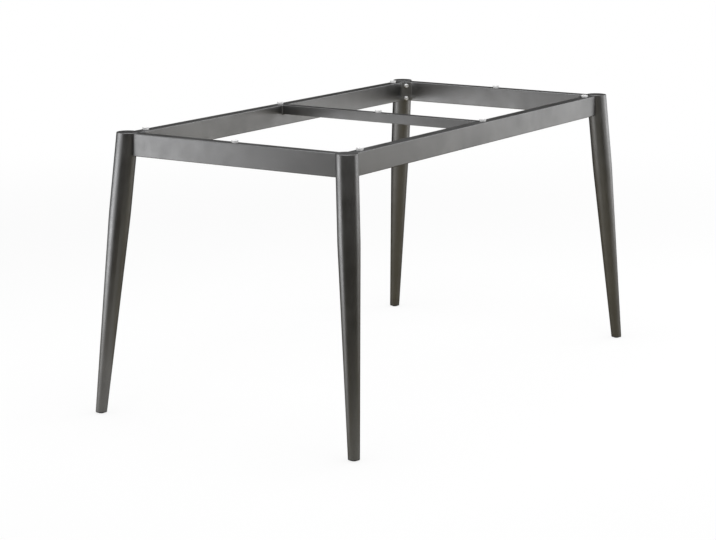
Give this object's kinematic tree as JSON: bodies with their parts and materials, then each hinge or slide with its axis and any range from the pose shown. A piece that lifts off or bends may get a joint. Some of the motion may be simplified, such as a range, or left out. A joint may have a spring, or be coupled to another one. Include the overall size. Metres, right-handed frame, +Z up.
{
  "type": "table frame",
  "caption": "Rectangular table frame of dark coated rails with a cross rail, round tapered legs splayed outward, foot glides and clear pads for a loose top.",
  "frame": {"origin": "on the floor, below the middle of the rail frame", "axes": "+X along the long side, to the right seen from the front; +Y along the short side, to the back; +Z up"},
  "size_m": [1.4802, 0.7932, 0.726],
  "materials": {
    "frame_coat": "satin",
    "bright_steel": "satin",
    "black_plastic": "satin",
    "clear_pad": "gloss"
  },
  "bodies": {
    "root": {"long_rail_front": "frame_coat", "long_rail_back": "frame_coat", "short_rail_left": "frame_coat", "short_rail_right": "frame_coat", "cross_rail": "frame_coat", "corner_plate_front_left": "frame_coat", "corner_plate_front_right": "frame_coat", "corner_plate_back_left": "frame_coat", "corner_plate_back_right": "frame_coat", "leg_tube_front_left": "frame_coat", "leg_tube_front_right": "frame_coat", "leg_tube_back_left": "frame_coat", "leg_tube_back_right": "frame_coat", "leg_cap_front_left": "frame_coat", "leg_cap_front_right": "frame_coat", "leg_cap_back_left": "frame_coat", "leg_cap_back_right": "frame_coat", "leg_bolts": "bright_steel", "flat_washers": "bright_steel", "spring_washers": "bright_steel", "thread_bushes": "bright_steel", "foot_glide_front_left": "black_plastic", "foot_glide_front_right": "black_plastic", "foot_glide_back_left": "black_plastic", "foot_glide_back_right": "black_plastic", "top_pad_front_left": "clear_pad", "top_pad_front_middle": "clear_pad", "top_pad_front_right": "clear_pad", "top_pad_back_left": "clear_pad", "top_pad_back_middle": "clear_pad", "top_pad_back_right": "clear_pad", "top_pad_left": "clear_pad", "top_pad_right": "clear_pad", "top_pad_centre": "clear_pad"}
  },
  "joints": []
}
